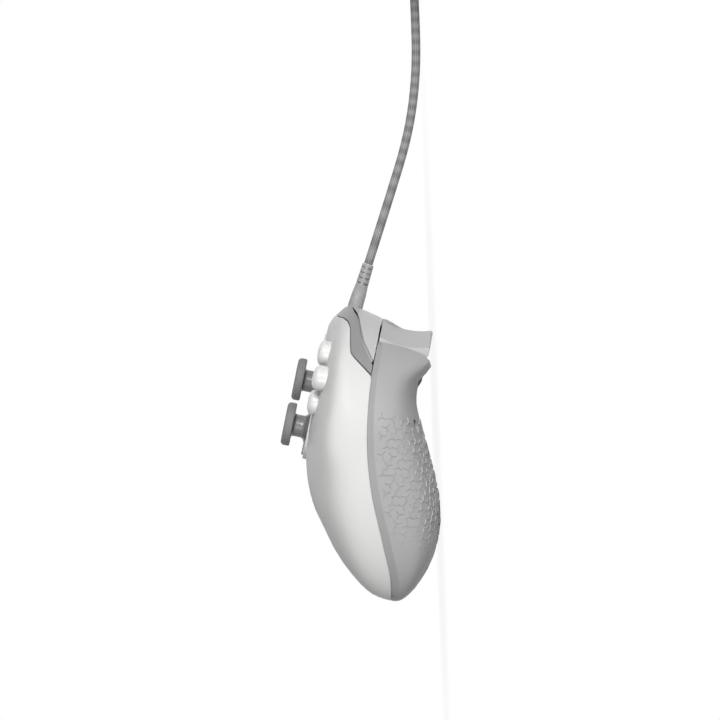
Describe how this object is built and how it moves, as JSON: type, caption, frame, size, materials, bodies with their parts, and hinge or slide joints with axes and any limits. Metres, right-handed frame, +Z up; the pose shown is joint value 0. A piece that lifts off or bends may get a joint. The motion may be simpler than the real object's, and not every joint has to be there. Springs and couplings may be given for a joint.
{
  "type": "gamepad",
  "caption": "Wired gamepad with offset sticks, a cross, face buttons, bumpers, pull triggers, rumble weights and a USB cable laid in a coil.",
  "frame": {"origin": "on the table, under the middle of the pad's box, without the cable", "axes": "+X towards the player's right, +Y away from the player, +Z up; the pad lies face up on the backs of its grips and on its trigger tips, its face tipped 13.5 degrees"},
  "size_m": [0.156, 0.3093, 0.0616],
  "materials": {
    "white_plastic": "fine matt moulding",
    "grey_plastic": "matt moulding, grip texture on the grips",
    "trim_plastic": "satin",
    "bumper_plastic": "satin gloss",
    "trigger_plastic": "fine matt moulding",
    "button_plastic": "polished",
    "cross_plastic": "satin gloss",
    "stick_rubber": "matt rubber over a glossy stem",
    "inner_plastic": "plain moulding",
    "membrane": "soft silicone",
    "board": "green solder mask",
    "steel": "plain steel",
    "weight": "sintered metal",
    "plug_metal": "nickel plated",
    "cable_braid": "braided sleeve",
    "cable_rubber": "matt moulded rubber",
    "tie_strap": "woven strap"
  },
  "bodies": {
    "pad": {"front_faceplate": "white_plastic", "rear_shell": "grey_plastic", "top_trim": "trim_plastic", "top_bridge": "bumper_plastic", "bumper_pins": "steel", "right_trigger_pin": "steel", "left_trigger_pin": "steel", "right_trigger_spring": "steel", "left_trigger_spring": "steel", "shoulder_frame": "inner_plastic", "bumper_switches": "inner_plastic", "face_button_membrane": "membrane", "centre_switches": "inner_plastic", "dpad_stand": "inner_plastic", "dpad_membrane": "membrane", "main_board": "board", "usb_board": "board", "usb_socket": "steel", "headset_jack": "inner_plastic", "left_rumble_motor": "steel", "right_rumble_motor": "steel", "housing_screws": "steel", "board_screws": "steel", "usb_c_plug": "plug_metal", "cable_boot": "cable_rubber", "cable_lead": "cable_braid", "cable_coil": "cable_braid", "cable_tail": "cable_braid", "cable_tie": "tie_strap", "usb_a_body": "cable_rubber", "usb_a_plug": "plug_metal", "left_stick_house": "inner_plastic", "right_stick_house": "inner_plastic"},
    "left_stick_yoke": {"left_stick_yoke": "inner_plastic"},
    "left_stick_ball": {"left_stick_ball": "inner_plastic"},
    "left_stick": {"left_stick_shaft": "steel", "left_stick_cap": "stick_rubber"},
    "right_stick_yoke": {"right_stick_yoke": "inner_plastic"},
    "right_stick_ball": {"right_stick_ball": "inner_plastic"},
    "right_stick": {"right_stick_shaft": "steel", "right_stick_cap": "stick_rubber"},
    "north_button": {"north_button": "button_plastic"},
    "east_button": {"east_button": "button_plastic"},
    "south_button": {"south_button": "button_plastic"},
    "west_button": {"west_button": "button_plastic"},
    "guide_button": {"guide_button": "button_plastic"},
    "view_button": {"view_button": "button_plastic"},
    "menu_button": {"menu_button": "button_plastic"},
    "share_button": {"share_button": "button_plastic"},
    "dpad_rocker": {"dpad_rocker": "inner_plastic"},
    "dpad": {"dpad": "cross_plastic"},
    "right_bumper": {"right_bumper": "bumper_plastic"},
    "right_trigger": {"right_trigger": "trigger_plastic"},
    "right_rumble_weight": {"right_rumble_weight": "weight"},
    "left_bumper": {"left_bumper": "bumper_plastic"},
    "left_trigger": {"left_trigger": "trigger_plastic"},
    "left_rumble_weight": {"left_rumble_weight": "weight"}
  },
  "joints": [
    {"name": "left_stick_tilt_forward", "type": "hinge", "parent": "pad", "child": "left_stick_yoke", "pos_m": [-0.043, 0.02565, 0.03702], "axis": [1, 0, 0], "range_deg": [-15, 15], "stiffness_Nm_per_rad": 0.03},
    {"name": "left_stick_tilt_sideways", "type": "hinge", "parent": "left_stick_yoke", "child": "left_stick_ball", "pos_m": [-0.043, 0.02565, 0.03702], "axis": [0, 0.9724, -0.2334], "range_deg": [-15, 15], "stiffness_Nm_per_rad": 0.03},
    {"name": "left_stick_press", "type": "slide", "parent": "left_stick_ball", "child": "left_stick", "axis": [0, -0.2334, -0.9724], "range_m": [0, 0.0005], "stiffness_N_per_m": 5000, "springref_m": -0.0005},
    {"name": "right_stick_tilt_forward", "type": "hinge", "parent": "pad", "child": "right_stick_yoke", "pos_m": [0.02, 0.00835, 0.04118], "axis": [1, 0, 0], "range_deg": [-15, 15], "stiffness_Nm_per_rad": 0.03},
    {"name": "right_stick_tilt_sideways", "type": "hinge", "parent": "right_stick_yoke", "child": "right_stick_ball", "pos_m": [0.02, 0.00835, 0.04118], "axis": [0, 0.9724, -0.2334], "range_deg": [-15, 15], "stiffness_Nm_per_rad": 0.03},
    {"name": "right_stick_press", "type": "slide", "parent": "right_stick_ball", "child": "right_stick", "axis": [0, -0.2334, -0.9724], "range_m": [0, 0.0005], "stiffness_N_per_m": 5000, "springref_m": -0.0005},
    {"name": "north_button_press", "type": "slide", "parent": "pad", "child": "north_button", "axis": [0, -0.2334, -0.9724], "range_m": [0, 0.0012], "stiffness_N_per_m": 300, "springref_m": -0.0015},
    {"name": "east_button_press", "type": "slide", "parent": "pad", "child": "east_button", "axis": [0, -0.2334, -0.9724], "range_m": [0, 0.0012], "stiffness_N_per_m": 300, "springref_m": -0.0015},
    {"name": "south_button_press", "type": "slide", "parent": "pad", "child": "south_button", "axis": [0, -0.2334, -0.9724], "range_m": [0, 0.0012], "stiffness_N_per_m": 300, "springref_m": -0.0015},
    {"name": "west_button_press", "type": "slide", "parent": "pad", "child": "west_button", "axis": [0, -0.2334, -0.9724], "range_m": [0, 0.0012], "stiffness_N_per_m": 300, "springref_m": -0.0015},
    {"name": "guide_button_press", "type": "slide", "parent": "pad", "child": "guide_button", "axis": [0, -0.2334, -0.9724], "range_m": [0, 0.0005], "stiffness_N_per_m": 2000, "springref_m": -0.0005},
    {"name": "view_button_press", "type": "slide", "parent": "pad", "child": "view_button", "axis": [0, -0.2334, -0.9724], "range_m": [0, 0.0005], "stiffness_N_per_m": 2000, "springref_m": -0.0005},
    {"name": "menu_button_press", "type": "slide", "parent": "pad", "child": "menu_button", "axis": [0, -0.2334, -0.9724], "range_m": [0, 0.0005], "stiffness_N_per_m": 2000, "springref_m": -0.0005},
    {"name": "share_button_press", "type": "slide", "parent": "pad", "child": "share_button", "axis": [0, -0.2334, -0.9724], "range_m": [0, 0.0005], "stiffness_N_per_m": 2000, "springref_m": -0.0005},
    {"name": "dpad_rock_forward", "type": "hinge", "parent": "pad", "child": "dpad_rocker", "pos_m": [-0.02, 0.00863, 0.04234], "axis": [1, 0, 0], "range_deg": [-4, 4], "stiffness_Nm_per_rad": 0.13},
    {"name": "dpad_rock_sideways", "type": "hinge", "parent": "dpad_rocker", "child": "dpad", "pos_m": [-0.02, 0.00863, 0.04234], "axis": [0, 0.9724, -0.2334], "range_deg": [-4, 4], "stiffness_Nm_per_rad": 0.13},
    {"name": "right_bumper_click", "type": "hinge", "parent": "pad", "child": "right_bumper", "pos_m": [0.0186, 0.04942, 0.02463], "axis": [0, -0.2334, -0.9724], "range_deg": [0, 1], "stiffness_Nm_per_rad": 1.5, "springref_deg": -1.15},
    {"name": "right_trigger_pull", "type": "hinge", "parent": "pad", "child": "right_trigger", "pos_m": [0.0448, 0.04187, 0.0249], "axis": [-0.9455, 0.3166, -0.076], "range_deg": [0, 18], "stiffness_Nm_per_rad": 0.02, "springref_deg": -22.92},
    {"name": "right_rumble_spin", "type": "hinge", "parent": "pad", "child": "right_rumble_weight", "pos_m": [0.056, -0.03148, 0.02348], "axis": [0, 0.9724, -0.2334], "continuous": true},
    {"name": "left_bumper_click", "type": "hinge", "parent": "pad", "child": "left_bumper", "pos_m": [-0.0186, 0.04942, 0.02463], "axis": [0, 0.2334, 0.9724], "range_deg": [0, 1], "stiffness_Nm_per_rad": 1.5, "springref_deg": -1.15},
    {"name": "left_trigger_pull", "type": "hinge", "parent": "pad", "child": "left_trigger", "pos_m": [-0.0448, 0.04187, 0.0249], "axis": [-0.9455, -0.3166, 0.076], "range_deg": [0, 18], "stiffness_Nm_per_rad": 0.02, "springref_deg": -22.92},
    {"name": "left_rumble_spin", "type": "hinge", "parent": "pad", "child": "left_rumble_weight", "pos_m": [-0.056, -0.03148, 0.02348], "axis": [0, 0.9724, -0.2334], "continuous": true}
  ]
}
